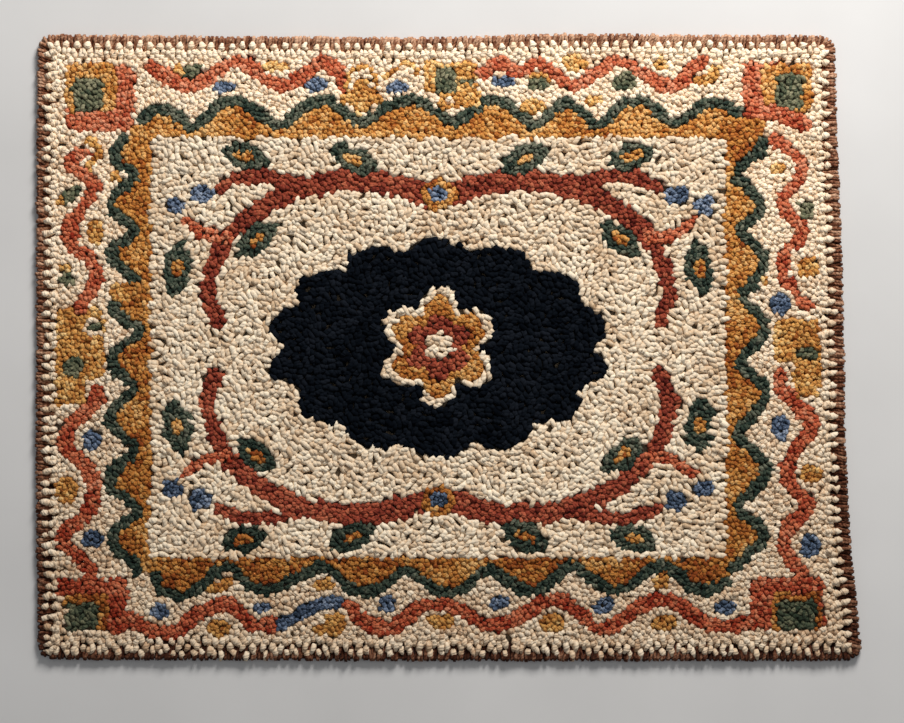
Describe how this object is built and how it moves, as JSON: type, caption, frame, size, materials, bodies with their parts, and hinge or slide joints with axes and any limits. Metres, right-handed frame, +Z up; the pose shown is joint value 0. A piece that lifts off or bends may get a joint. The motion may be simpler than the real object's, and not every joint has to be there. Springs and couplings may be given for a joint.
{
  "type": "hooked rug",
  "caption": "Flat rectangular wool rug of hooked loop pile, with a vine and wave border round a plain field and medallion, and an edge whipped in brown yarn.",
  "frame": {"origin": "under the middle of the rug's overall box, on the floor it lies on", "axes": "+X along the long side, to the right as the rug is seen in the picture; +Y along the short side, to the picture's top edge; +Z up out of the pile"},
  "size_m": [0.9206, 0.7028, 0.0104],
  "materials": {
    "cream_wool": "matte hooked wool yarn",
    "brown_whipping": "matte wool yarn, whipped",
    "black_wool": "matte hooked wool yarn",
    "gold_wool": "matte hooked wool yarn",
    "green_wool": "matte hooked wool yarn",
    "rust_wool": "matte hooked wool yarn",
    "blue_wool": "matte hooked wool yarn",
    "foundation_cloth": "plain woven linen"
  },
  "bodies": {
    "root": {"hooked_panel": "cream_wool", "whipped_edge": "brown_whipping"}
  },
  "joints": []
}
